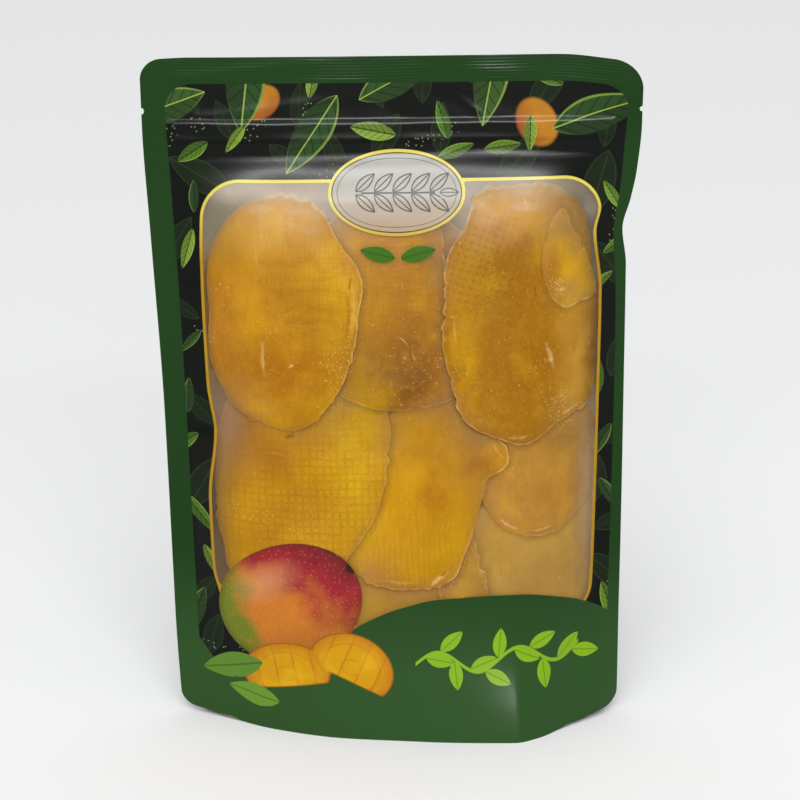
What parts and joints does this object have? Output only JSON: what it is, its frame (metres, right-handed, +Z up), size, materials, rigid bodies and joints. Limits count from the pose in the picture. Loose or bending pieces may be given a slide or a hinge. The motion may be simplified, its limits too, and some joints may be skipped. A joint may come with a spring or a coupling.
{
  "type": "stand-up pouch of dried mango slices",
  "caption": "Sealed stand-up pouch with a zip band and a clear window, filled with flat dried mango slices and standing on its opened bottom gusset.",
  "frame": {"origin": "on the floor under the middle of the standing pouch", "axes": "+Z up along the height of the pouch, +X to the right across its width, and -Y out of the window at the front"},
  "size_m": [0.2, 0.08, 0.278],
  "materials": {
    "printed_film": "satin printed laminate film, dark green"
  },
  "bodies": {
    "root": {"pouch": "printed_film"}
  },
  "joints": []
}
